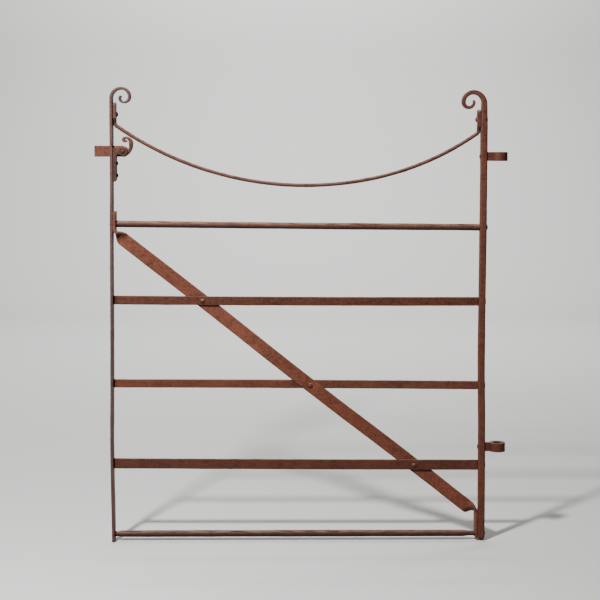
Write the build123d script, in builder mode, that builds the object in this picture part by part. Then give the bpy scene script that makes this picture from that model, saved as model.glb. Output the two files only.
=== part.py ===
from build123d import *
from math import asin, atan2, cos, degrees, hypot, radians, sin, tan
import os

# A hand-forged wrought-iron garden gate: two stiles, five rails, a woven diagonal brace,
# a swag bar, two hinge eyes and a lift latch, all joined by riveted tenons and rivets.
#
# Frame: millimetres, +Z up, +X from the gate towards its hinge post, +Y from the front of
# the gate to the back. The origin is on the hinge axis, at the underside of the lower eye.

# ---------------------------------------------------------------- driving dimensions
FOOT_Z = -259.0            # the feet of both stiles, below the lower hinge eye

HEEL_X = -45.0             # middle of the hanging stile, the heavy bar at the hinge side
HEEL_SIZE = 20.0           # it is a square bar with softened corners
HEEL_CORNER = 4.5
LATCH_OUTER_X = -1095.5    # outer face of the latch stile
LATCH_THICK = 8.0          # the latch stile is a flat bar set edge-on to the viewer
LATCH_DEPTH = 38.0

HEEL_FACE_X = HEEL_X - HEEL_SIZE / 2
HEEL_OUTER_X = HEEL_X + HEEL_SIZE / 2
LATCH_FACE_X = LATCH_OUTER_X + LATCH_THICK

ROUND_RAIL = 19.0          # diameter of the top and bottom rails
FLAT_THICK = 7.0           # thickness of the three flat rails
# Each rail is a little out of level: its height over the feet at the latch stile and at
# the hanging stile.
TOP_LEVELS = (909.0, 898.8)
BOTTOM_LEVEL = 21.0
FLAT_RAILS = {
    "upper_rail": {"levels": (693.2, 688.2), "face": 25.0},
    "middle_rail": {"levels": (455.2, 448.4), "face": 24.0},
    "lower_rail": {"levels": (225.0, 219.0), "face": 29.0},
}
TENON_THICK = 4.6          # the flat rails end in flat tenons
TENON_HEIGHT = 14.0
ROUND_TENON = 6.0          # radius of the round rails' tenons
BAR_EDGE = 1.2             # softened edge of every flat bar

BRACE_WIDTH = 37.5
BRACE_THICK = 8.0
BRACE_TOP = 884.2          # height at which the brace's middle line meets each palm
BRACE_FOOT = 78.4
BRACE_BEND = 12.0          # middle-line radius where the brace turns into its palm
TWIST_STARTS = (38.0, 39.0)    # where the quarter twists begin, from the top and bottom corners
TWIST_RISES = (3.0, 5.5)      # how far each twist carries the bar towards its upper edge
TWIST_BACKS = (0.0, 8.5)       # and backwards, which brings the palm flush with its stile's front
RIVET_STEP = 3.5           # the brace's rivets sit this far past the middle of each crossing
BRACE_FLAT = 45.0          # half length of the straight stretch at each crossing
UPPER_PALM_TOP = 944.0
LOWER_PALM_END = 8.5

SWAG_BAR = 10.5            # diameter of the round swag bar
SWAG_LOW_X = -546.3        # its lowest point
SWAG_LOW = 1017.3
SWAG_LATCH_RADIUS = 928.4  # the long curve on the latch side
SWAG_HEEL_RADIUS = 925.0   # the long curve on the hinge side
SWAG_HEEL_TURN = 13.0      # how far that curve turns before the bar steepens
SWAG_STEEP = 34.9          # slope of the bar where it reaches the hinge-side bend
SWAG_BEND = 10.0           # radius of both end bends
PALM_THICK = 9.6           # the swag bar's ends are hammered into palms
PALM_DEPTHS = (25.0, 20.0)     # at the latch side and at the hinge side
PALM_CORNER = 6.0          # how much the palms' top corners are cut back

RIVET_SHANK = 4.0
RIVET_HEAD = 7.0
RIVET_DOME = 4.6

PIN_X = -1058.5            # the latch lever's pivot
PIN_HEIGHT = 1112.5
PIN_RADIUS = 5.0
PIN_CLEARANCE = 0.07
KNUCKLE_RADIUS = 12.2
STRAP_THICK = 9.6
STRAP_DEPTH = 30.0
FORK_GAP = 11.0            # gap in the bracket for the lever
LEVER_THICK = 9.2

EYE_RADIUS = 22.0          # hinge eyes, rolled from strap
EYE_BORE = 13.0
EYE_HEIGHT = 25.0
EYE_SPACING = 827.0        # underside of the lower eye to underside of the upper eye
SHANK_THICK = 11.0
TANG_RADIUS = 5.5

PARTS = "parts"


def height(above_feet):
    """The Z of a point, given its height over the gate's feet."""
    return FOOT_Z + above_feet


def save(piece, label):
    piece.label = label
    export_step(piece, f"{PARTS}/{label}.step")


def facing(point, direction):
    """A plane at a point that looks along a level direction, with its own Y axis upright."""
    way = Vector(direction)
    return Plane(point, x_dir=(-way.Y, way.X, 0), z_dir=way)


def add_dome(seat, radius, rise):
    """Join a hammered dome, standing on the seat plane, to the part being built."""
    sphere = (radius**2 + rise**2) / (2 * rise)
    with BuildSketch(Plane(seat.origin, x_dir=seat.x_dir, z_dir=seat.y_dir * -1)) as half:
        with BuildLine():
            Line((0, 0), (radius, 0))
            RadiusArc((radius, 0), (0, rise), -sphere)
            Line((0, rise), (0, 0))
        make_face()
    revolve(half.sketch, axis=Axis(seat.origin, seat.z_dir))


def rivet(label, point, direction, grip, tail, head=(RIVET_HEAD, RIVET_DOME)):
    """A rivet with its head at a point, facing direction; tail is its far end's radius and rise."""
    seat = facing(point, direction)
    far_seat = facing(seat.origin - seat.z_dir * grip, seat.z_dir * -1)
    with BuildPart() as piece:
        with BuildSketch(seat):
            Circle(RIVET_SHANK)
        extrude(amount=-grip)
        add_dome(seat, *head)
        add_dome(far_seat, *tail)
    save(piece.part, label)


os.makedirs(PARTS, exist_ok=True)

# ---------------------------------------------------------------- levels and crossings
# Each flat rail runs straight between the stiles; the brace crosses it at its middle line.
brace_run = (HEEL_FACE_X - BRACE_THICK / 2) - (LATCH_FACE_X + BRACE_THICK / 2)
brace_drop = BRACE_TOP - BRACE_FOOT
brace_length = hypot(brace_run, brace_drop)
brace_top = Vector(LATCH_FACE_X + BRACE_THICK / 2, 0, height(BRACE_TOP))
along = Vector(brace_run, 0, -brace_drop).normalized()
across = Vector(-along.Z, 0, along.X)


def rail_height(levels, x):
    """Height over the feet of a rail's middle line at x."""
    run = (x - LATCH_FACE_X) / (HEEL_FACE_X - LATCH_FACE_X)
    return levels[0] + run * (levels[1] - levels[0])


def crossing(levels):
    """Distance along the brace, from its top corner, to its rivet through a rail."""
    slope = (levels[1] - levels[0]) / (HEEL_FACE_X - LATCH_FACE_X)
    gap = BRACE_TOP - rail_height(levels, brace_top.X)
    return gap / (slope * along.X - along.Z) + RIVET_STEP


crossings = [crossing(rail["levels"]) for rail in FLAT_RAILS.values()]
WEAVE = (BRACE_THICK + FLAT_THICK) / 2      # how far the brace steps off the rails' plane
weave_sides = (WEAVE, -WEAVE, WEAVE)        # behind, in front, behind

# ---------------------------------------------------------------- fixing places
# Every hole through a stile: the stile, its height and its kind.
tenon_slots = {"latch": [], "heel": []}
for flat in FLAT_RAILS.values():
    tenon_slots["latch"].append(height(flat["levels"][0]))
    tenon_slots["heel"].append(height(flat["levels"][1]))
swag_rivet_heights = {"latch": height(1216.5), "heel": height(1202.0)}
bracket_rivet_heights = {"upper": height(1079.4), "lower": height(1045.3)}
eye_bases = {"lower_hinge_eye": 0.0, "upper_hinge_eye": EYE_SPACING}
PIN_Z = height(PIN_HEIGHT)


def scroll_edge(start, heading, turn, radii, last_turn):
    """Quarter-turn arcs of shrinking radius, each tangent to the one before it."""
    corner, tangent = start, heading
    for place, radius in enumerate(radii):
        sweep_angle = last_turn if place == len(radii) - 1 else 90
        arc = JernArc(corner, tangent, radius, turn * sweep_angle)
        corner, tangent = arc @ 1, arc % 1
    return corner


# ---------------------------------------------------------------- latch stile
# A flat bar whose top is drawn thin and rolled inward.
LATCH_SCROLL = (31.9, 27.3, 19.2, 14.8, 9.0)        # outer radii, quarter by quarter
LATCH_SCROLL_THICK = (8.0, 7.2, 6.6, 5.8, 4.6)
LATCH_SCROLL_START = height(1261.6)
LATCH_SCROLL_END = 70.0
SLOT_BELOW = 14.9                                   # the latch slot, from the pivot's height
SLOT_ABOVE = 24.2

with BuildPart() as latch_stile:
    with BuildSketch(Plane.XZ):
        with BuildLine():
            outer_foot = (LATCH_OUTER_X, FOOT_Z)
            inner_foot = (LATCH_FACE_X, FOOT_Z)
            outer_start = (LATCH_OUTER_X, LATCH_SCROLL_START)
            inner_start = (LATCH_FACE_X, LATCH_SCROLL_START)
            inner_radii = [r - t for r, t in zip(LATCH_SCROLL, LATCH_SCROLL_THICK)]
            Line(inner_foot, outer_foot)
            Line(outer_foot, outer_start)
            outer_tip = scroll_edge(outer_start, (0, 1), -1, LATCH_SCROLL, LATCH_SCROLL_END)
            Line(inner_foot, inner_start)
            inner_tip = scroll_edge(inner_start, (0, 1), -1, inner_radii, LATCH_SCROLL_END)
            Line(outer_tip, inner_tip)
        make_face()
    extrude(amount=LATCH_DEPTH / 2, both=True)
    chamfer(latch_stile.faces().sort_by(Axis.Z)[0].edges(), length=1.5)
    with BuildSketch(facing((LATCH_OUTER_X, 0, 0), (1, 0, 0))):
        for level in tenon_slots["latch"]:
            with Locations((0, level)):
                Rectangle(TENON_THICK, TENON_HEIGHT)
        with Locations((0, height(TOP_LEVELS[0])), (0, height(BOTTOM_LEVEL))):
            Circle(ROUND_TENON)
        with Locations((0, swag_rivet_heights["latch"])):
            Circle(RIVET_SHANK)
        for level in bracket_rivet_heights.values():
            with Locations((0, level)):
                Circle(RIVET_SHANK)
        with Locations((0, PIN_Z + (SLOT_ABOVE - SLOT_BELOW) / 2)):
            Rectangle(FORK_GAP, SLOT_ABOVE + SLOT_BELOW)
    extrude(amount=LATCH_THICK, mode=Mode.SUBTRACT)
save(latch_stile.part, "latch_stile")

# ---------------------------------------------------------------- hanging stile
# A square bar drawn down to a rolled tail at the top and worn to a blunt toe at its foot.
HEEL_TAPER_START = height(1186.0)
HEEL_STRAIGHT_END = height(1247.9)
HEEL_SCROLL = (30.6, 27.6, 15.2, 14.6, 4.6)         # middle-line radii, quarter by quarter
HEEL_SCROLL_END = 80.0
HEEL_TAPER = (20.0, 16.8, 12.6, 12.2, 9.2, 8.4, 6.6)    # bar size at each joint of the curl
CORNER_SHARE = 0.225
CURL_STEPS = 3
TOE_WIDTH = 10.0
TOE_HEIGHT = 10.0


def bar_section(origin, direction, size):
    """The square bar's section, with softened corners, at a point of its middle line."""
    with BuildSketch(Plane(origin, x_dir=(0, 1, 0), z_dir=direction)) as section:
        RectangleRounded(size, size, size * CORNER_SHARE)
    return section.sketch


def curl_sections():
    """Sections along the drawn-down end, three to each quarter of the curl."""
    sections = []
    with BuildLine(Plane.XZ):
        piece = Line((HEEL_X, HEEL_TAPER_START), (HEEL_X, HEEL_STRAIGHT_END))
        for place, radius in enumerate((None,) + HEEL_SCROLL):
            if radius:
                turn = HEEL_SCROLL_END if place == len(HEEL_SCROLL) else 90
                piece = JernArc(piece @ 1, piece % 1, radius, turn)
            steps = CURL_STEPS if radius else 1
            for step in range(steps):
                share = step / steps
                size = HEEL_TAPER[place] + share * (HEEL_TAPER[place + 1] - HEEL_TAPER[place])
                sections.append(bar_section(piece @ share, piece % share, size))
        sections.append(bar_section(piece @ 1, piece % 1, HEEL_TAPER[-1]))
    return sections


with BuildPart() as hanging_stile:
    with BuildSketch(Plane.XY.offset(FOOT_Z + TOE_HEIGHT)):
        with Locations((HEEL_X, 0)):
            RectangleRounded(HEEL_SIZE, HEEL_SIZE, HEEL_SIZE * CORNER_SHARE)
    extrude(amount=HEEL_TAPER_START - FOOT_Z - TOE_HEIGHT)
    with BuildSketch(Plane.XY.offset(FOOT_Z)):
        with Locations((HEEL_X, 0)):
            RectangleRounded(TOE_WIDTH, TOE_WIDTH, TOE_WIDTH * CORNER_SHARE)
    with BuildSketch(Plane.XY.offset(FOOT_Z + TOE_HEIGHT)):
        with Locations((HEEL_X, 0)):
            RectangleRounded(HEEL_SIZE, HEEL_SIZE, HEEL_SIZE * CORNER_SHARE)
    loft()
    curl = curl_sections()
    loft(curl[:2])
    for first in range(1, len(curl) - 1, CURL_STEPS):
        loft(curl[first:first + CURL_STEPS + 1])
    with BuildSketch(facing((HEEL_FACE_X, 0, 0), (1, 0, 0))):
        for level in tenon_slots["heel"]:
            with Locations((0, level)):
                Rectangle(TENON_THICK, TENON_HEIGHT)
        with Locations((0, height(TOP_LEVELS[1])), (0, height(BOTTOM_LEVEL))):
            Circle(ROUND_TENON)
        with Locations((0, swag_rivet_heights["heel"])):
            Circle(RIVET_SHANK)
        for base in eye_bases.values():
            with Locations((0, base + EYE_HEIGHT / 2)):
                Circle(TANG_RADIUS)
    extrude(amount=HEEL_SIZE, mode=Mode.SUBTRACT)
save(hanging_stile.part, "hanging_stile")

# ---------------------------------------------------------------- top rail
# A round bar between the brace's upper palm and the hanging stile, with its tenons
# hammered over outside both stiles.
TOP_START_X = LATCH_FACE_X + BRACE_THICK
LATCH_BURR = (8.0, 2.5)      # radius and rise of the hammered end
HEEL_BURR = (8.5, 3.6)

with BuildPart() as top_rail:
    start = Vector(TOP_START_X, 0, height(TOP_LEVELS[0]))
    end = Vector(HEEL_FACE_X, 0, height(TOP_LEVELS[1]))
    with BuildSketch(facing(start, (1, 0, 0))):
        Circle(ROUND_RAIL / 2)
    extrude(amount=(end - start).length, dir=end - start)
    with BuildSketch(facing(start, (1, 0, 0))):
        Circle(ROUND_TENON)
    extrude(amount=LATCH_OUTER_X - TOP_START_X)
    with BuildSketch(facing(end, (1, 0, 0))):
        Circle(ROUND_TENON)
    extrude(amount=HEEL_SIZE)
    add_dome(facing((LATCH_OUTER_X, 0, start.Z), (-1, 0, 0)), *LATCH_BURR)
    add_dome(facing((HEEL_OUTER_X, 0, end.Z), (1, 0, 0)), *HEEL_BURR)
save(top_rail.part, "top_rail")

# ---------------------------------------------------------------- flat rails
FLAT_BURR = 1.4              # the flat tenons' burrs stand this proud of the stiles
BURR_SPREAD = 1.5            # and spread this far past the tenon all round


def flat_rail(label, levels, face):
    """A flat rail with a flat tenon at each end, its ends spread outside the stiles."""
    start = Vector(LATCH_FACE_X, 0, height(levels[0]))
    end = Vector(HEEL_FACE_X, 0, height(levels[1]))
    with BuildPart() as piece:
        with BuildSketch(facing(start, (1, 0, 0))):
            RectangleRounded(FLAT_THICK, face, BAR_EDGE)
        extrude(amount=(end - start).length, dir=end - start)
        for shoulder, depth, way in ((start, LATCH_THICK, -1), (end, HEEL_SIZE, 1)):
            with BuildSketch(facing(shoulder, (way, 0, 0))):
                Rectangle(TENON_THICK, TENON_HEIGHT)
            extrude(amount=depth)
            outside = shoulder + Vector(way * depth, 0, 0)
            with BuildSketch(facing(outside, (way, 0, 0))):
                RectangleRounded(TENON_THICK + 2 * BURR_SPREAD, TENON_HEIGHT + 2 * BURR_SPREAD, BURR_SPREAD)
            extrude(amount=FLAT_BURR, taper=35)
        middle = brace_top + along * crossing(levels)
        with BuildSketch(Plane((middle.X, -FLAT_THICK, middle.Z), z_dir=(0, 1, 0))):
            Circle(RIVET_SHANK)
        extrude(amount=2 * FLAT_THICK, mode=Mode.SUBTRACT)
    save(piece.part, label)


for rail_name, rail in FLAT_RAILS.items():
    flat_rail(rail_name, rail["levels"], rail["face"])

# ---------------------------------------------------------------- bottom rail
# A round bar, drawn in to a neck before each shoulder.
NECK_LENGTHS = (20.0, 36.0)  # at the latch side and at the hinge side
NECK_RADIUS = 7.0
SHOULDER_RADIUS = 8.0
BOTTOM_END_X = HEEL_FACE_X - BRACE_THICK
BOTTOM_BURR = (7.6, 2.2)

with BuildPart() as bottom_rail:
    with BuildSketch(Plane((LATCH_FACE_X, 0, height(BOTTOM_LEVEL)), x_dir=(1, 0, 0), z_dir=(0, -1, 0))):
        span = BOTTOM_END_X - LATCH_FACE_X
        body = ROUND_RAIL / 2
        neck_in, neck_out = NECK_LENGTHS
        with BuildLine():
            Spline(
                (0, SHOULDER_RADIUS), (neck_in * 0.4, NECK_RADIUS), (neck_in, body),
                tangents=((1, -0.1), (1, 0)),
            )
            Line((neck_in, body), (span - neck_out, body))
            Spline(
                (span - neck_out, body), (span - neck_out * 0.4, NECK_RADIUS),
                (span, SHOULDER_RADIUS), tangents=((1, 0), (1, 0.1)),
            )
            Polyline((span, SHOULDER_RADIUS), (span, 0), (0, 0), (0, SHOULDER_RADIUS))
        make_face()
    revolve(axis=Axis((LATCH_FACE_X, 0, height(BOTTOM_LEVEL)), (1, 0, 0)))
    with BuildSketch(facing((LATCH_OUTER_X, 0, height(BOTTOM_LEVEL)), (1, 0, 0))):
        Circle(ROUND_TENON)
    extrude(amount=HEEL_OUTER_X - LATCH_OUTER_X)
    add_dome(facing((LATCH_OUTER_X, 0, height(BOTTOM_LEVEL)), (-1, 0, 0)), *BOTTOM_BURR)
    add_dome(facing((HEEL_OUTER_X, 0, height(BOTTOM_LEVEL)), (1, 0, 0)), *BOTTOM_BURR)
save(bottom_rail.part, "bottom_rail")

# ---------------------------------------------------------------- diagonal brace
# A flat bar woven behind, in front of and behind the flat rails. Each end is given a
# quarter twist and bent upright into a palm that a round rail clamps to its stile.
bend_angle = 90 - degrees(atan2(brace_drop, brace_run))
bend_reach = BRACE_BEND * tan(radians(bend_angle / 2))
TWIST_STEPS = 9
TWIST_EARLY = 1.03         # over 1, the twist ends before the bend does
brace_plane = Plane(brace_top, x_dir=along, z_dir=across)


def swing(vector, angle):
    """A level vector turned in the gate's own plane."""
    turn = radians(angle)
    return Vector(
        vector.X * cos(turn) - vector.Z * sin(turn), 0, vector.X * sin(turn) + vector.Z * cos(turn)
    )


def brace_section(middle, heading, side, turn):
    """The bar's section at a point, across its heading, its width turned from side to the front."""
    wide = side * cos(radians(turn)) + Vector(0, -1, 0) * sin(radians(turn))
    with BuildSketch(Plane(middle, x_dir=wide, z_dir=heading)) as section:
        RectangleRounded(BRACE_WIDTH, BRACE_THICK, BAR_EDGE)
    return section.sketch


def twist(corner, way, run_in, shift):
    """The sections of a quarter twist that runs along the brace and round the bend into a palm.
    corner is where the bend starts, once the whole shift is made."""
    bend_length = BRACE_BEND * radians(bend_angle)
    centre = corner + swing(along * way, -90) * BRACE_BEND
    sections = []
    for step in range(TWIST_STEPS + 1):
        share = step / TWIST_STEPS
        turn = 90 * min(1, share * share * (3 - 2 * share) * TWIST_EARLY)
        travel = share * (run_in + bend_length) - run_in
        angle = -degrees(max(travel, 0) / BRACE_BEND)
        if travel > 0:
            place = centre - swing(along * way, angle - 90) * BRACE_BEND
        else:
            place = corner + along * way * travel
        place = place - shift * cos(radians(turn))
        sections.append(brace_section(place, swing(along, angle), swing(across, angle), turn))
    return sections


def step_over(before, after):
    """Two equal arcs that carry the bar from one level to another, level at both ends."""
    run = after[0] - before[0]
    rise = after[1] - before[1]
    radius = (run**2 + rise**2) / (4 * abs(rise))
    turn = degrees(2 * atan2(rise, run))
    first = JernArc(before, (1, 0), radius, turn)
    JernArc(first @ 1, first % 1, radius, -turn)


with BuildPart() as diagonal_brace:
    plain_start, plain_end = TWIST_STARTS[0], brace_length - TWIST_STARTS[1]
    with BuildLine(brace_plane) as weave:
        stops = [(plain_start, 0.0)]
        for distance, side in zip(crossings, weave_sides):
            stops.append((distance - BRACE_FLAT, side))
            stops.append((distance + BRACE_FLAT, side))
        stops.append((plain_end, 0.0))
        for before, after in zip(stops, stops[1:]):
            if before[1] == after[1]:
                Line(before, after)
            else:
                step_over(before, after)
    sweep(brace_section(brace_top + along * plain_start, along, across, 0), path=weave.line)
    # the twists carry the bar up and back, so each bend starts a little off the middle line
    slope = tan(radians(90 - bend_angle))
    ends = (
        (plain_start, bend_reach - TWIST_RISES[0] * slope, TWIST_RISES[0], TWIST_BACKS[0], -1,
         UPPER_PALM_TOP),
        (plain_end, brace_length - bend_reach - TWIST_RISES[1] * slope, TWIST_RISES[1],
         TWIST_BACKS[1], 1, LOWER_PALM_END),
    )
    for untwisted, bent, rise, back, way, palm_end in ends:
        shift = across * rise + Vector(0, back, 0)
        corner = brace_top + along * bent + shift
        sections = twist(corner, way, abs(bent - untwisted), shift)
        for first in range(0, TWIST_STEPS, 3):
            loft(sections[first:first + 4])
        with BuildLine(Plane.XZ.offset(-back)) as bend:
            turned = JernArc(corner, along * way, BRACE_BEND, -bend_angle)
            palm = Line(turned @ 1, Vector((turned @ 1).X, back, height(palm_end)))
        sweep(brace_section(palm @ 0, swing(along, -bend_angle), swing(across, -bend_angle), 90),
              path=palm)
    for distance in crossings:
        middle = brace_top + along * distance
        with BuildSketch(Plane((middle.X, -BRACE_WIDTH, middle.Z), z_dir=(0, 1, 0))):
            Circle(RIVET_SHANK)
    extrude(amount=2 * BRACE_WIDTH, mode=Mode.SUBTRACT)
    with BuildSketch(facing((LATCH_FACE_X - 1, 0, height(TOP_LEVELS[0])), (1, 0, 0))):
        Circle(ROUND_TENON)
    extrude(amount=2 * BRACE_THICK, mode=Mode.SUBTRACT)
    with BuildSketch(facing((HEEL_FACE_X + 1, 0, height(BOTTOM_LEVEL)), (-1, 0, 0))):
        Circle(ROUND_TENON)
    extrude(amount=2 * BRACE_THICK, mode=Mode.SUBTRACT)
save(diagonal_brace.part, "diagonal_brace")

# Each crossing is held by one rivet through the brace and the rail.
for rivet_name, distance, side in zip(("upper", "middle", "lower"), crossings, weave_sides):
    middle = brace_top + along * distance
    front = -FLAT_THICK / 2 if side > 0 else -FLAT_THICK / 2 - BRACE_THICK
    rivet(
        f"{rivet_name}_brace_rivet", (middle.X, front, middle.Z), (0, -1, 0),
        FLAT_THICK + BRACE_THICK, (RIVET_HEAD - 0.6, RIVET_DOME - 1.2),
    )

# ---------------------------------------------------------------- swag bar
# A round bar that dips between the stiles. Its ends are hammered into palms.
BAR_STANDOFF = SWAG_BAR / 2 + 0.35       # the bar's middle line, off the stile's face
SWAG_PALM_TOPS = (height(1250.5), height(1229.5))
PALM_BLEND = 14.0                        # length over which the bar flattens into its palm
PALM_ROOT = 9.6                          # the palm's size where it leaves the round bar


def bend_run(radius, from_heading, to_heading):
    return radius * (sin(radians(to_heading)) - sin(radians(from_heading)))


with BuildPart() as swag_bar:
    latch_bar_x = LATCH_FACE_X + BAR_STANDOFF
    heel_bar_x = HEEL_FACE_X - BAR_STANDOFF
    # the latch-side curve's turn, so that bend and curve together reach the lowest point
    run_to_low = SWAG_LOW_X - latch_bar_x - SWAG_BEND
    dip = degrees(asin(run_to_low / (SWAG_LATCH_RADIUS - SWAG_BEND)))
    steep_start = SWAG_LOW_X + bend_run(SWAG_HEEL_RADIUS, 0, SWAG_HEEL_TURN)
    steep_end = heel_bar_x - bend_run(SWAG_BEND, SWAG_STEEP, 90)
    steep_radius = (steep_end - steep_start) / bend_run(1, SWAG_HEEL_TURN, SWAG_STEEP)
    low_rise = SWAG_LATCH_RADIUS * (1 - cos(radians(dip))) + SWAG_BEND * cos(radians(dip))
    with BuildLine(Plane.XZ) as swag_path:
        bend_in = JernArc((latch_bar_x, height(SWAG_LOW) + low_rise), (0, -1), SWAG_BEND, 90 - dip)
        down = JernArc(bend_in @ 1, bend_in % 1, SWAG_LATCH_RADIUS, dip)
        rise = JernArc(down @ 1, down % 1, SWAG_HEEL_RADIUS, SWAG_HEEL_TURN)
        steep = JernArc(rise @ 1, rise % 1, steep_radius, SWAG_STEEP - SWAG_HEEL_TURN)
        bend_out = JernArc(steep @ 1, steep % 1, SWAG_BEND, 90 - SWAG_STEEP)
    with BuildSketch(Plane(bend_in @ 0, x_dir=(1, 0, 0), z_dir=(0, 0, -1))):
        Circle(SWAG_BAR / 2)
    sweep(path=swag_path.line)
    palms = (
        (LATCH_FACE_X, 1, (bend_in @ 0).Z, SWAG_PALM_TOPS[0], PALM_DEPTHS[0]),
        (HEEL_FACE_X, -1, (bend_out @ 1).Z, SWAG_PALM_TOPS[1], PALM_DEPTHS[1]),
    )
    for face_x, way, bar_end, palm_top, palm_depth in palms:
        palm_foot = bar_end + PALM_BLEND
        palm_length = palm_top - palm_foot
        with BuildSketch(Plane.XY.offset(bar_end)):
            with Locations((face_x + way * BAR_STANDOFF, 0)):
                RectangleRounded(PALM_ROOT, PALM_ROOT, PALM_ROOT * 0.42)
        with BuildSketch(Plane.XY.offset(palm_foot)):
            with Locations((face_x + way * PALM_THICK / 2, 0)):
                RectangleRounded(PALM_THICK, palm_depth, BAR_EDGE)
        loft()
        with BuildSketch(facing((face_x, 0, palm_foot), (way, 0, 0))):
            side, shoulder = palm_depth / 2, palm_length - PALM_CORNER
            Polygon(
                (-side, 0), (side, 0), (side, shoulder), (side - PALM_CORNER, palm_length),
                (PALM_CORNER - side, palm_length), (-side, shoulder), align=None,
            )
        extrude(amount=PALM_THICK)
    for face_x, key in ((LATCH_FACE_X, "latch"), (HEEL_FACE_X, "heel")):
        with BuildSketch(facing((face_x - PALM_THICK - 1, 0, swag_rivet_heights[key]), (1, 0, 0))):
            Circle(RIVET_SHANK)
    extrude(amount=2 * PALM_THICK + 2, mode=Mode.SUBTRACT)
save(swag_bar.part, "swag_bar")

SWAG_HEAD = (8.2, 5.8)
SWAG_TAIL = (5.5, 1.2)
rivet(
    "latch_swag_rivet", (LATCH_FACE_X + PALM_THICK, 0, swag_rivet_heights["latch"]), (1, 0, 0),
    PALM_THICK + LATCH_THICK, SWAG_TAIL, SWAG_HEAD,
)
rivet(
    "heel_swag_rivet", (HEEL_FACE_X - PALM_THICK, 0, swag_rivet_heights["heel"]), (-1, 0, 0),
    PALM_THICK + HEEL_SIZE, SWAG_TAIL, SWAG_HEAD,
)

# ---------------------------------------------------------------- hinge eyes
# Strap rolled into an eye in front of its own shank; the tang goes through the hanging
# stile and is clenched on the inner face.
SEAM = 0.9
SEAM_MOUTH = 3.6
TANG_BURR = (8.0, 3.0)


def hinge_eye(label, base):
    shank_face = -SHANK_THICK / 2
    with BuildPart() as eye:
        with BuildSketch(Plane.XY.offset(base)):
            Circle(EYE_RADIUS)
            with Locations(((HEEL_OUTER_X - EYE_BORE) / 2, 0)):
                Rectangle(-HEEL_OUTER_X - EYE_BORE, SHANK_THICK)
            Circle(EYE_BORE, mode=Mode.SUBTRACT)
            # the gap between the rolled end and the shank, open like a V on the outside
            Polygon(
                (-EYE_RADIUS - 4, shank_face), (-EYE_RADIUS - 4, shank_face - SEAM_MOUTH),
                (-EYE_RADIUS + 2.5, shank_face - SEAM), (0, shank_face - SEAM), (0, shank_face),
                align=None, mode=Mode.SUBTRACT,
            )
        extrude(amount=EYE_HEIGHT)
        with BuildSketch(facing((HEEL_OUTER_X, 0, base + EYE_HEIGHT / 2), (-1, 0, 0))):
            Circle(TANG_RADIUS)
        extrude(amount=HEEL_SIZE)
        add_dome(facing((HEEL_FACE_X, 0, base + EYE_HEIGHT / 2), (-1, 0, 0)), *TANG_BURR)
    save(eye.part, label)


for eye_name, eye_base in eye_bases.items():
    hinge_eye(eye_name, eye_base)

# ---------------------------------------------------------------- latch bracket
# Strap folded over the lever's pin: two prongs that carry the pin, and a doubled leg
# riveted to the latch stile.
LEG_BOTTOM = height(1028.0) - PIN_Z
LEG_LEFT = LATCH_FACE_X - PIN_X
LEG_RIGHT = LEG_LEFT + STRAP_THICK
LEG_TOP = 10.0
FORK_FLOOR = 15.6

with BuildPart() as latch_bracket:
    with BuildSketch(Plane((PIN_X, 0, PIN_Z), x_dir=(1, 0, 0), z_dir=(0, -1, 0))):
        Circle(KNUCKLE_RADIUS)
        Polygon(
            (LEG_LEFT, LEG_BOTTOM), (LEG_RIGHT - 4, LEG_BOTTOM), (LEG_RIGHT, LEG_BOTTOM + 6),
            (LEG_RIGHT, -12), (LEG_RIGHT + 4, -8), (-8, -8), (0, 0), (0, KNUCKLE_RADIUS),
            (-8, KNUCKLE_RADIUS - 0.8), (LEG_LEFT, LEG_TOP), align=None,
        )
        Circle(PIN_RADIUS, mode=Mode.SUBTRACT)
    extrude(amount=STRAP_DEPTH / 2, both=True)
    with BuildSketch(Plane((PIN_X, 0, PIN_Z), x_dir=(1, 0, 0), z_dir=(0, -1, 0))):
        with Locations((0, KNUCKLE_RADIUS - FORK_FLOOR / 2)):
            Rectangle(2 * KNUCKLE_RADIUS - 2 * LEG_LEFT, FORK_FLOOR + 2 * KNUCKLE_RADIUS)
    extrude(amount=FORK_GAP / 2, both=True, mode=Mode.SUBTRACT)
    with BuildSketch(facing((LATCH_FACE_X, 0, 0), (1, 0, 0))):
        for level in bracket_rivet_heights.values():
            with Locations((0, level)):
                Circle(RIVET_SHANK)
    extrude(amount=STRAP_THICK, mode=Mode.SUBTRACT)
save(latch_bracket.part, "latch_bracket")

for rivet_name, level in bracket_rivet_heights.items():
    rivet(
        f"{rivet_name}_bracket_rivet", (LATCH_FACE_X + STRAP_THICK, 0, level), (1, 0, 0),
        STRAP_THICK + LATCH_THICK, (5.0, 0.8), (6.8, 4.8),
    )

# ---------------------------------------------------------------- latch pin
PIN_HEAD = (6.8, 3.2)         # radius and rise
PIN_TAIL = (7.0, 2.6)

with BuildPart() as latch_pin:
    front_seat = facing((PIN_X, -STRAP_DEPTH / 2, PIN_Z), (0, -1, 0))
    back_seat = facing((PIN_X, STRAP_DEPTH / 2, PIN_Z), (0, 1, 0))
    with BuildSketch(front_seat):
        Circle(PIN_RADIUS)
    extrude(amount=-STRAP_DEPTH)
    add_dome(front_seat, *PIN_HEAD)
    add_dome(back_seat, *PIN_TAIL)
save(latch_pin.part, "latch_pin")

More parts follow.
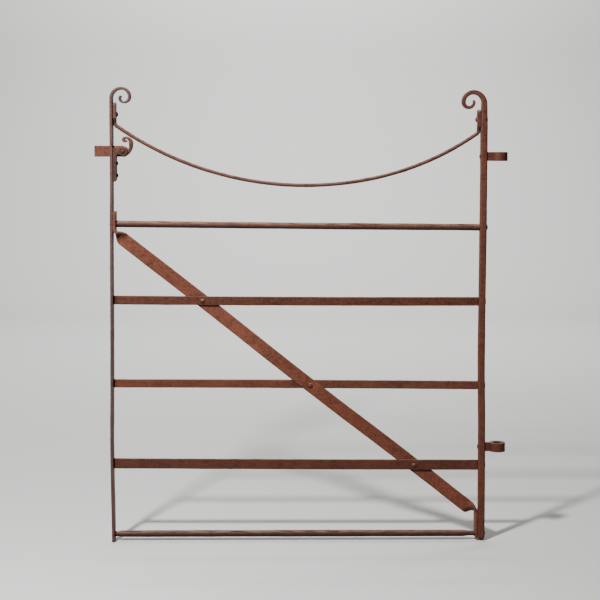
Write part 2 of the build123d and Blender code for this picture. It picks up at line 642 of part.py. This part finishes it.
# ---------------------------------------------------------------- latch lever
# A plate that turns on the pin: its tongue goes out through the bracket and the stile,
# and its tail widens into a thumb piece that ends in a small curl.
TONGUE_TIP = -81.5
TONGUE_TOP = 16.5
TONGUE_BOTTOM = -14.5
BOSS_RADIUS = 15.0
ARM_OUTER = 26.5
ARM_TURN_Z = 22.0
ARM_WEB_TOP = 12.0         # the arm widens below this height, down to the boss
CURL = (20.0, 9.0, 7.5, 5.0)            # outer radii of the curl, quarter by quarter
CURL_THICK = (9.6, 6.4, 6.0, 4.5)
CURL_DROP = 3.4
ARM_ROOT_ANGLE = 30.0
KNUCKLE_CLEAR = KNUCKLE_RADIUS + 0.6
THUMB_DEPTH = 36.0
# half depth of the thumb piece at heights over the pivot
THUMB_FLARE = ((-20, 7), (-14, 7), (0, 13), (24, THUMB_DEPTH / 2), (60, THUMB_DEPTH / 2))

lever_plane = Plane((PIN_X, 0, PIN_Z), x_dir=(1, 0, 0), z_dir=(0, -1, 0))
root = (BOSS_RADIUS * sin(radians(ARM_ROOT_ANGLE)), -BOSS_RADIUS * cos(radians(ARM_ROOT_ANGLE)))
root_radius = (ARM_OUTER - root[0]) / (1 - sin(radians(ARM_ROOT_ANGLE)))


def arm_edges():
    """The thumb piece in side view, from the boss to the end of its curl."""
    heading = (cos(radians(ARM_ROOT_ANGLE)), sin(radians(ARM_ROOT_ANGLE)))
    flare = JernArc(root, heading, root_radius, 90 - ARM_ROOT_ANGLE)
    lift = Line(flare @ 1, (ARM_OUTER, ARM_TURN_Z))
    outer_end = scroll_edge(lift @ 1, (0, 1), 1, CURL, 90)
    inner_radii = [r - t for r, t in zip(CURL, CURL_THICK)]
    inner_x = ARM_OUTER - CURL_THICK[0]
    inner_line = Line((inner_x, ARM_WEB_TOP), (inner_x, ARM_TURN_Z + CURL_DROP))
    inner_end = scroll_edge(inner_line @ 1, (0, 1), 1, inner_radii, 90)
    Line(outer_end, inner_end)
    web = Line(inner_line @ 0, (KNUCKLE_RADIUS, 0))
    Line(web @ 1, root)


with BuildPart() as latch_lever:
    # the wide thumb piece, tapered in depth towards the boss
    with BuildSketch(lever_plane):
        with BuildLine():
            arm_edges()
        make_face()
        Circle(KNUCKLE_CLEAR, mode=Mode.SUBTRACT)
    extrude(amount=THUMB_DEPTH / 2, both=True)
    with BuildSketch(Plane((PIN_X, 0, PIN_Z), x_dir=(0, 1, 0), z_dir=(1, 0, 0))):
        front = [(-depth, level) for level, depth in THUMB_FLARE]
        back = [(depth, level) for level, depth in reversed(THUMB_FLARE)]
        Polygon(*front, *back, align=None)
    extrude(amount=2 * THUMB_DEPTH, both=True, mode=Mode.INTERSECT)
    # the plate
    with BuildSketch(lever_plane):
        with BuildLine():
            arm_edges()
        make_face()
        Circle(BOSS_RADIUS)
        with Locations((TONGUE_TIP / 2, (TONGUE_TOP + TONGUE_BOTTOM) / 2)):
            Rectangle(-TONGUE_TIP, TONGUE_TOP - TONGUE_BOTTOM)
    extrude(amount=LEVER_THICK / 2, both=True)
    with BuildSketch(lever_plane):
        Circle(PIN_RADIUS + PIN_CLEARANCE)
    extrude(amount=THUMB_DEPTH, both=True, mode=Mode.SUBTRACT)
    tip_corners = latch_lever.edges().filter_by(Axis.Y).group_by(Axis.X)[0]
    fillet(tip_corners, radius=2)
save(latch_lever.part, "latch_lever")
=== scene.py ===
import math

import bpy
import numpy as np
from mathutils import Euler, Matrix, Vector


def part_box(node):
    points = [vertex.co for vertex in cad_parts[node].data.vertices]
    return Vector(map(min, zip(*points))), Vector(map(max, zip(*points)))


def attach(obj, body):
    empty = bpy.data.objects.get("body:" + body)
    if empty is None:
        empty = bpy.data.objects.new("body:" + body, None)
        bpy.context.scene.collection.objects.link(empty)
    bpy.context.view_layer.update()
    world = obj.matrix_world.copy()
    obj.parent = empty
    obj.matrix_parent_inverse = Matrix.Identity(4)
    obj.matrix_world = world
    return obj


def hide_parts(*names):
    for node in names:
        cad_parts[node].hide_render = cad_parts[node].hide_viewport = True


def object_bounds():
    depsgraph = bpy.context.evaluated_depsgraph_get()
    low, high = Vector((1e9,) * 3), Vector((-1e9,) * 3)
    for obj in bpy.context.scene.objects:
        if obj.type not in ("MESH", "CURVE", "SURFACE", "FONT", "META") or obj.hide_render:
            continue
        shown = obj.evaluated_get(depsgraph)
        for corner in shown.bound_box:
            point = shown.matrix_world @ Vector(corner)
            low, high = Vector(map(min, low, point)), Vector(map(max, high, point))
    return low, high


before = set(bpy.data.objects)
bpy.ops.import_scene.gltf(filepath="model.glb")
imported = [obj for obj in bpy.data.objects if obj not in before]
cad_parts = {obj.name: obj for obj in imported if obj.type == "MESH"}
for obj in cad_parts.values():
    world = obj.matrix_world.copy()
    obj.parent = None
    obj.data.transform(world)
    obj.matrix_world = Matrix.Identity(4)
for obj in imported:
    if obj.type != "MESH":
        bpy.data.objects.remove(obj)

cad_low, cad_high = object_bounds()

# ---------------------------------------------------------------- places and sizes
MM = 0.001
WELD_REACH = 0.00001                                    # doubled corners of the CAD mesh
FEET = cad_low.z                                        # the floor the gate stands on
stile_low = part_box("latch_stile")[0]
heel_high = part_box("hanging_stile")[1]
GATE_MIDDLE = Vector(((stile_low.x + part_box("lower_hinge_eye")[0].x) / 2, 0.0, (FEET + cad_high.z) / 2))


def linear(red, green, blue):
    """An sRGB colour, each part from 0 to 255, as the linear values that a shader takes."""
    parts = []
    for value in (red, green, blue):
        share = value / 255
        parts.append(share / 12.92 if share <= 0.04045 else ((share + 0.055) / 1.055) ** 2.4)
    return (*parts, 1.0)


# ---------------------------------------------------------------- materials
class Tree:
    """A short way to write a node tree."""

    def __init__(self, material):
        material.use_nodes = True
        self.nodes = material.node_tree.nodes
        self.links = material.node_tree.links
        self.nodes.clear()

    def add(self, kind, inputs=None, **settings):
        node = self.nodes.new(kind)
        for key, value in settings.items():
            setattr(node, key, value)
        for key, value in (inputs or {}).items():
            self.feed(value, node.inputs[key])
        return node

    def feed(self, value, socket):
        if isinstance(value, bpy.types.NodeSocket):
            self.links.new(value, socket)
        else:
            socket.default_value = value

    def maths(self, operation, *values, clamp=False):
        node = self.nodes.new("ShaderNodeMath")
        node.operation = operation
        node.use_clamp = clamp
        for socket, value in zip(node.inputs, values):
            self.feed(value, socket)
        return node.outputs[0]

    def ramp(self, value, low, high):
        """0 below low, 1 above high, smooth between."""
        node = self.add("ShaderNodeMapRange", {"Value": value, "From Min": low, "From Max": high},
                        interpolation_type="SMOOTHSTEP")
        return node.outputs["Result"]

    def mix(self, share, first, second):
        node = self.nodes.new("ShaderNodeMix")
        node.data_type = "RGBA"
        self.feed(share, node.inputs[0])
        self.feed(first, node.inputs[6])
        self.feed(second, node.inputs[7])
        return node.outputs[2]

    def noise(self, where, scale, detail=4.0, rough=0.55, distortion=0.0):
        node = self.add("ShaderNodeTexNoise", {
            "Vector": where, "Scale": scale, "Detail": detail, "Roughness": rough,
            "Distortion": distortion})
        return node.outputs["Fac"]


DEEP = linear(84, 46, 34)
BROWN = linear(114, 65, 48)
WARM = linear(139, 76, 52)
# the colour of worn iron on arrises, also used as a painted highlight on top faces
PALE_WEAR_AND_HIGHLIGHT = linear(188, 154, 130)
ORANGE = linear(168, 88, 44)
BLACK = linear(26, 16, 14)


def toned(colour, shade, grey):
    """A colour made darker or lighter, and greyer."""
    mean = sum(colour[:3]) / 3
    return (*[(part + (mean - part) * grey) * shade for part in colour[:3]], 1.0)


def iron(name, grain, shade=1.0, grey=0.0, wear_and_highlight=0.5, rust=0.3, redness=0.5, painted_underside_shade=0.4):
    """Old wrought iron under brown rust. grain is the bar's direction, shade and grey set its
    tone, wear_and_highlight is how much its arrises are rubbed lighter by wear and its tops are
    lightened as a painted highlight, rust how much live orange rust it has, and
    painted_underside_shade how dark its undersides are painted, as painted shade."""
    material = bpy.data.materials.new(name)
    tree = Tree(material)
    place = tree.add("ShaderNodeTexCoord").outputs["Object"]
    shape = tree.add("ShaderNodeNewGeometry")
    turn = Vector(grain).normalized().rotation_difference(Vector((1, 0, 0))).to_euler()
    lengthwise = tree.add("ShaderNodeMapping", {
        "Vector": place, "Rotation": turn, "Scale": (0.09, 1.0, 1.0)}).outputs["Vector"]
    deep, brown, warm = [toned(colour, shade, grey) for colour in (DEEP, BROWN, WARM)]
    orange = toned(ORANGE, 0.5 + 0.5 * shade, 0.0)
    pale_wear_and_highlight = toned(PALE_WEAR_AND_HIGHLIGHT, 0.35 + 0.65 * shade, grey)

    broad = tree.noise(place, 7.0, 3.0)
    blotch = tree.noise(place, 42.0, 6.0, 0.62, 0.4)
    mottle = tree.noise(place, 160.0, 5.0, 0.65)
    fine = tree.noise(place, 700.0, 3.0, 0.45)
    streak = tree.noise(lengthwise, 260.0, 4.0, 0.45)

    patch = tree.maths("ADD", tree.maths("MULTIPLY", blotch, 0.4), tree.maths("MULTIPLY", broad, 0.3))
    patch = tree.maths("ADD", patch, tree.maths("MULTIPLY", streak, 0.3))
    colour = tree.mix(tree.ramp(patch, 0.4, 0.6), deep, brown)
    warm_share = tree.maths("MULTIPLY", tree.ramp(mottle, 0.42, 0.58), redness)
    colour = tree.mix(warm_share, colour, warm)
    live = tree.maths("ADD", blotch, tree.maths("MULTIPLY", broad, 0.45))
    live = tree.ramp(live, 1.02 - 0.3 * rust, 1.16 - 0.25 * rust)
    colour = tree.mix(tree.maths("MULTIPLY", live, 0.8), colour, orange)

    # lighter on arrises where worn, plus a painted highlight on the tops of bars, both in lengthwise
    # streaks
    edge = tree.ramp(shape.outputs["Pointiness"], 0.505, 0.56)
    level = tree.add("ShaderNodeSeparateXYZ", {"Vector": shape.outputs["Normal"]}).outputs["Z"]
    # painted highlight: faces that point up are made lighter, as light from above would do
    painted_top_highlight = tree.ramp(level, 0.2, 0.9)
    wear_and_top_highlight = tree.maths("ADD", tree.maths("MULTIPLY", edge, 0.45), tree.maths("MULTIPLY", painted_top_highlight, 0.9))
    wear_and_top_highlight = tree.maths("MULTIPLY", wear_and_top_highlight, tree.ramp(streak, 0.32, 0.6), clamp=True)
    colour = tree.mix(tree.maths("MULTIPLY", wear_and_top_highlight, wear_and_highlight), colour, pale_wear_and_highlight)

    # dark rust pits, darker crevices, and painted shade on the undersides
    pits = tree.ramp(tree.maths("ADD", fine, tree.maths("MULTIPLY", mottle, 0.35)), 0.56, 0.45)
    crevice = tree.ramp(shape.outputs["Pointiness"], 0.49, 0.42)
    # painted shade: faces that point down are darkened towards black
    under = tree.ramp(level, 0.15, -0.5)
    dark = tree.maths("MAXIMUM", tree.maths("MULTIPLY", pits, 0.4), tree.maths("MULTIPLY", crevice, 0.6))
    dark = tree.maths("MAXIMUM", dark, tree.maths("MULTIPLY", under, painted_underside_shade))
    colour = tree.mix(dark, colour, BLACK)

    roughness = tree.add("ShaderNodeMapRange", {
        "Value": mottle, "From Min": 0.3, "From Max": 0.7, "To Min": 0.46, "To Max": 0.74})
    relief = tree.maths("ADD", mottle, tree.maths("MULTIPLY", fine, 0.45))
    relief = tree.maths("ADD", relief, tree.maths("MULTIPLY", streak, 0.5))
    bump = tree.add("ShaderNodeBump", {"Height": relief, "Strength": 0.55, "Distance": 0.0009})
    shader = tree.add("ShaderNodeBsdfPrincipled", {
        "Base Color": colour, "Roughness": roughness.outputs["Result"],
        "Normal": bump.outputs["Normal"], "Metallic": 0.15, "Specular IOR Level": 0.28})
    tree.add("ShaderNodeOutputMaterial", {"Surface": shader.outputs["BSDF"]})
    return material


# ---------------------------------------------------------------- forged surfaces
def cloud(name, size, depth):
    texture = bpy.data.textures.new(name, "CLOUDS")
    texture.noise_scale = size
    texture.noise_depth = depth
    texture.noise_type = "SOFT_NOISE"
    return texture


WAVER = cloud("waver", 0.09, depth=1)           # the slow wander of a hand-forged bar
HAMMER = cloud("hammer", 0.016, depth=1)        # hammer marks
SCALE = cloud("scale", 0.0045, depth=3)         # rust scale and pits


# How far each stile bows sideways, in mm, at heights over the feet in mm. The rails and the
# brace follow their two stiles.
LATCH_BOW = ((60, -3.2), (144, -4.8), (286, -6.3), (371, -4.8), (484, -3.6), (597, -2.8), (825, -2.0),
             (968, -0.7), (1000, 0.0))
HEEL_BOW = ((144, 0.8), (370, 0.0), (480, -2.4), (600, -2.4), (780, -1.0), (965, 0.0))
BOW_SPREAD = 100                                # the length over which a bow's corners round off
BOW_STEP = 10                                   # the spacing of the heights it is worked out at
BOW_TOP = 1400.0                                # above the top of the gate
SAGS = {"upper_rail": -1.6, "middle_rail": 1.0, "lower_rail": -0.6, "top_rail": -0.8}


def bow(levels, heights):
    """The sideways shift at each height, rounded off."""
    grid = np.arange(-BOW_SPREAD, BOW_TOP, BOW_STEP)
    known, shifts = zip(*levels)
    line = np.interp(grid, known, shifts)
    reach = BOW_SPREAD // BOW_STEP
    window = np.hanning(2 * reach + 1)
    line = np.convolve(np.pad(line, reach, mode="edge"), window / window.sum(), mode="valid")
    return np.interp(heights, grid, line)


def settle(mesh, node):
    """Bow a gate piece's vertices as the old gate has settled."""
    points = np.empty(len(mesh.vertices) * 3)
    mesh.vertices.foreach_get("co", points)
    points = points.reshape(-1, 3)
    heights = (points[:, 2] - FEET) / MM
    share = np.clip((points[:, 0] - stile_low.x) / (heel_high.x - stile_low.x), 0, 1)
    points[:, 0] += ((1 - share) * bow(LATCH_BOW, heights) + share * bow(HEEL_BOW, heights)) * MM
    points[:, 2] += SAGS.get(node, 0.0) * MM * np.sin(np.pi * share)
    mesh.vertices.foreach_set("co", points.ravel())
    mesh.update()


def forged(node, body, voxel, smooth, waver=0.9, hammer=0.45, scale=0.22):
    """A hand-forged copy of a CAD node: its arrises soften, and its faces take hammer marks and rust."""
    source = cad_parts[node]
    piece = bpy.data.objects.new(f"{node}_forged", source.data.copy())
    bpy.context.scene.collection.objects.link(piece)
    weld = piece.modifiers.new("weld", "WELD")
    weld.merge_threshold = WELD_REACH
    grid = piece.modifiers.new("grid", "REMESH")
    grid.mode = "VOXEL"
    grid.voxel_size = voxel * MM
    grid.use_smooth_shade = True
    soften = piece.modifiers.new("soften", "SMOOTH")
    soften.factor = 0.5
    soften.iterations = smooth
    for texture, depth in ((WAVER, waver), (HAMMER, hammer), (SCALE, scale)):
        if depth:
            push = piece.modifiers.new(texture.name, "DISPLACE")
            push.texture = texture
            push.texture_coords = "LOCAL"
            push.strength = depth * MM
            push.mid_level = 0.5
    made = bpy.data.meshes.new_from_object(piece.evaluated_get(bpy.context.evaluated_depsgraph_get()))
    made.name = f"{node}_forged"
    if body == "gate":
        settle(made, node)
    piece.modifiers.clear()
    piece.data = made
    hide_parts(node)
    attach(piece, body)
    return piece


brace_low, brace_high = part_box("diagonal_brace")
ACROSS = (1, 0, 0)
UPRIGHT = (0, 0, 1)
SLANT = (brace_high.x - brace_low.x, 0, -(brace_high.z - brace_low.z))

left_stile_iron = iron("left_stile_iron", UPRIGHT, shade=0.84, grey=0.42, wear_and_highlight=0.45, rust=0.35, redness=0.4)
right_stile_iron = iron("right_stile_iron", UPRIGHT, shade=0.74, grey=0.05, wear_and_highlight=0.5, rust=0.3, redness=0.5)
round_iron = iron("round_iron", ACROSS, shade=0.7, grey=0.05, wear_and_highlight=0.85, painted_underside_shade=0.85, rust=0.2, redness=0.4)
# a darker copy of the round rail iron for the bottom rail: its lower tone is painted shade
bottom_iron_painted_shade = iron("bottom_iron_painted_shade", ACROSS, shade=0.46, grey=0.05, wear_and_highlight=0.7, painted_underside_shade=0.9, rust=0.2, redness=0.4)
upper_iron = iron("upper_iron", ACROSS, shade=0.53, wear_and_highlight=0.4, rust=0.45, redness=0.7)
middle_iron = iron("middle_iron", ACROSS, shade=0.77, grey=0.03, wear_and_highlight=0.5, rust=0.25, redness=0.5)
lower_iron = iron("lower_iron", ACROSS, shade=0.57, wear_and_highlight=0.4, rust=0.2, redness=0.55)
brace_iron = iron("brace_iron", SLANT, shade=0.97, wear_and_highlight=0.35, rust=0.2, redness=0.55)
swag_iron = iron("swag_iron", ACROSS, shade=0.72, grey=0.1, wear_and_highlight=0.85, rust=0.2, redness=0.4)
bracket_iron = iron("bracket_iron", UPRIGHT, shade=0.36, painted_underside_shade=0.7, grey=0.15, wear_and_highlight=0.25, rust=0.6)
lever_iron = iron("lever_iron", ACROSS, shade=0.72, painted_underside_shade=0.7, wear_and_highlight=0.25, rust=0.9, redness=0.8)
eye_iron = iron("eye_iron", ACROSS, shade=0.62, wear_and_highlight=0.45, rust=0.35, redness=0.5)
rivet_iron = iron("rivet_iron", UPRIGHT, shade=0.7, wear_and_highlight=0.8, rust=0.2, redness=0.5)

# node: its material, and the size of its mesh's squares in mm
BAR = 1.0
ROD = 0.9
FITTING = 0.55
RIVET = 0.45
PIECES = {
    "latch_stile": (left_stile_iron, BAR), "hanging_stile": (right_stile_iron, BAR),
    "top_rail": (round_iron, BAR), "bottom_rail": (bottom_iron_painted_shade, BAR),
    "upper_rail": (upper_iron, BAR), "middle_rail": (middle_iron, BAR), "lower_rail": (lower_iron, BAR),
    "diagonal_brace": (brace_iron, BAR), "swag_bar": (swag_iron, ROD),
    "upper_brace_rivet": (rivet_iron, RIVET), "middle_brace_rivet": (rivet_iron, RIVET),
    "lower_brace_rivet": (rivet_iron, RIVET), "latch_swag_rivet": (rivet_iron, RIVET),
    "heel_swag_rivet": (rivet_iron, RIVET), "upper_bracket_rivet": (bracket_iron, RIVET),
    "lower_bracket_rivet": (bracket_iron, RIVET), "upper_hinge_eye": (eye_iron, FITTING),
    "lower_hinge_eye": (eye_iron, FITTING), "latch_bracket": (bracket_iron, FITTING),
    "latch_pin": (bracket_iron, RIVET), "latch_lever": (lever_iron, FITTING),
}
STILE_WEAR = 16     # rounds of smoothing: the stiles' arrises are worn round
WEAR = 3
SMALL = 0.8         # pieces with squares under this get shallower marks

for node, (material, voxel) in PIECES.items():
    body = "latch" if node == "latch_lever" else "gate"
    if voxel < SMALL:
        piece = forged(node, body, voxel, waver=0.0, hammer=0.35, scale=0.2, smooth=WEAR)
    else:
        piece = forged(node, body, voxel, smooth=STILE_WEAR if "stile" in node else WEAR)
    piece.data.materials.clear()
    piece.data.materials.append(material)


# ---------------------------------------------------------------- stage, light and camera
def plain(name, colour, roughness):
    material = bpy.data.materials.new(name)
    tree = Tree(material)
    shader = tree.add("ShaderNodeBsdfPrincipled", {"Base Color": colour, "Roughness": roughness})
    tree.add("ShaderNodeOutputMaterial", {"Surface": shader.outputs["BSDF"]})
    return material


BEND_STEPS = 16


def sweep_floor(width, front, back, height, bend):
    """A floor that curves up into a backdrop."""
    points = [(front, 0.0)]
    for step in range(BEND_STEPS + 1):
        angle = math.radians(90 * step / BEND_STEPS)
        points.append((back - bend + bend * math.sin(angle), bend - bend * math.cos(angle)))
    points.append((back, height))
    corners = []
    for y, z in points:
        corners.append((GATE_MIDDLE.x - width / 2, y, FEET + z))
        corners.append((GATE_MIDDLE.x + width / 2, y, FEET + z))
    faces = [(2 * i, 2 * i + 1, 2 * i + 3, 2 * i + 2) for i in range(len(points) - 1)]
    mesh = bpy.data.meshes.new("floor")
    mesh.from_pydata(corners, [], faces)
    for face in mesh.polygons:
        face.use_smooth = True
    floor = bpy.data.objects.new("floor", mesh)
    bpy.context.scene.collection.objects.link(floor)
    floor.data.materials.append(plain("paper", linear(240, 239, 237), 0.85))
    floor.visible_diffuse = False


sweep_floor(width=18.0, front=-8.0, back=6.8, height=7.0, bend=1.8)


def softbox(name, place, size, power, aim):
    lamp = bpy.data.lights.new(name, "AREA")
    lamp.shape = "DISK"
    lamp.size = size
    lamp.energy = power
    holder = bpy.data.objects.new(name, lamp)
    holder.location = place
    holder.rotation_euler = (aim - Vector(place)).to_track_quat("-Z", "Y").to_euler()
    bpy.context.scene.collection.objects.link(holder)


FLOOR_MIDDLE = Vector((GATE_MIDDLE.x, 0.0, FEET))
softbox("key", FLOOR_MIDDLE + Vector((-1.15, -2.0, 2.42)), 0.3, 144.0, GATE_MIDDLE)
softbox("back", FLOOR_MIDDLE + Vector((-1.4, 1.5, 3.2)), 2.4, 24.0, GATE_MIDDLE)
softbox("wash", FLOOR_MIDDLE + Vector((0.0, 3.6, 4.6)), 3.0, 330.0, FLOOR_MIDDLE + Vector((0.0, 7.4, 0.6)))

FILL = 0.09                     # the soft light from all around
FILL_COLOUR = (1.0, 0.97, 0.93, 1.0)
world = bpy.data.worlds.new("studio")
world.use_nodes = True
world.node_tree.nodes["Background"].inputs["Color"].default_value = FILL_COLOUR
world.node_tree.nodes["Background"].inputs["Strength"].default_value = FILL
bpy.context.scene.world = world

# The camera stands 4.05 m in front of the gate, a little left of its middle, at chest height.
CAMERA_DISTANCE = 4.045
CAMERA_HEIGHT = 1.1677
CAMERA_LEFT = 0.5965          # left of the hinge axis
CAMERA_TILT = 3.83            # degrees down
CAMERA_TURN = 0.48            # degrees to the right
FOCAL_SHARE = 2.394           # focal length over the picture's width
SENSOR = 36.0
SHIFT = -0.12                 # the picture is centred below the line of sight

camera_data = bpy.data.cameras.new("camera")
camera_data.sensor_width = SENSOR
camera_data.lens = SENSOR * FOCAL_SHARE
camera_data.shift_y = SHIFT
camera = bpy.data.objects.new("camera", camera_data)
camera.location = (-CAMERA_LEFT, -CAMERA_DISTANCE, FEET + CAMERA_HEIGHT)
camera.rotation_euler = Euler((math.radians(90 - CAMERA_TILT), 0, math.radians(-CAMERA_TURN)))
bpy.context.scene.collection.objects.link(camera)
bpy.context.scene.camera = camera
